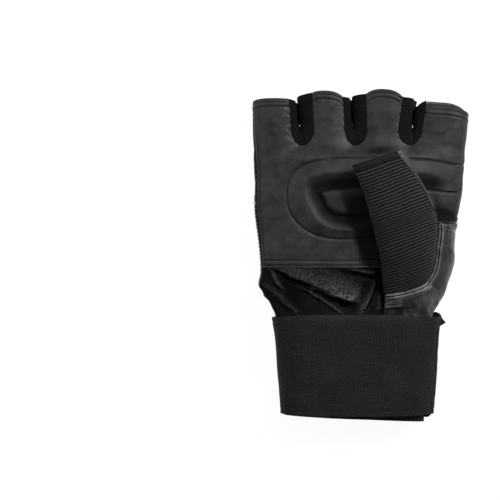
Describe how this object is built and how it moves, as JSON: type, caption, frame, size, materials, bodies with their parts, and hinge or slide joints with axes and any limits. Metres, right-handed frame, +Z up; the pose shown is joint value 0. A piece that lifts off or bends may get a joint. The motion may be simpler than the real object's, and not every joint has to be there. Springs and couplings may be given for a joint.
{
  "type": "weightlifting glove",
  "caption": "Fingerless leather weightlifting glove with a padded palm, mesh sidewalls, ribbed thumb and back, and an elastic wrist wrap.",
  "frame": {"origin": "on the surface that the glove lies on, under the middle of its box", "axes": "+X to the thumb's side, +Y to the fingertips, +Z up out of the palm"},
  "size_m": [0.1304, 0.199, 0.0428],
  "materials": {
    "palm_leather": "smooth matt black leather with a fine grain",
    "heel_leather": "soft glossy black leather, gathered",
    "back_leather": "black pebbled leather",
    "welt_leather": "worn black leather edge",
    "mesh_cloth": "open black knitted mesh",
    "rib_cloth": "black ribbed stretch fabric",
    "elastic": "black woven elastic with a diagonal weave",
    "hook_tape": "black hook tape"
  },
  "bodies": {
    "root": {"palm_panel": "palm_leather", "palm_pad": "palm_leather", "heel_panel": "heel_leather", "gusset_1": "mesh_cloth", "gusset_2": "mesh_cloth", "gusset_3": "mesh_cloth", "knuckle_panel": "back_leather", "rib_panel": "rib_cloth", "back_panel": "back_leather", "thumb_rib": "rib_cloth", "thumb_leather": "palm_leather", "thumb_welt": "welt_leather", "thumb_base": "back_leather", "cuff": "elastic", "wrist_strap": "elastic", "strap_start": "elastic", "strap_tip": "elastic", "strap_patch": "back_leather", "hook_tape": "hook_tape"}
  },
  "joints": []
}
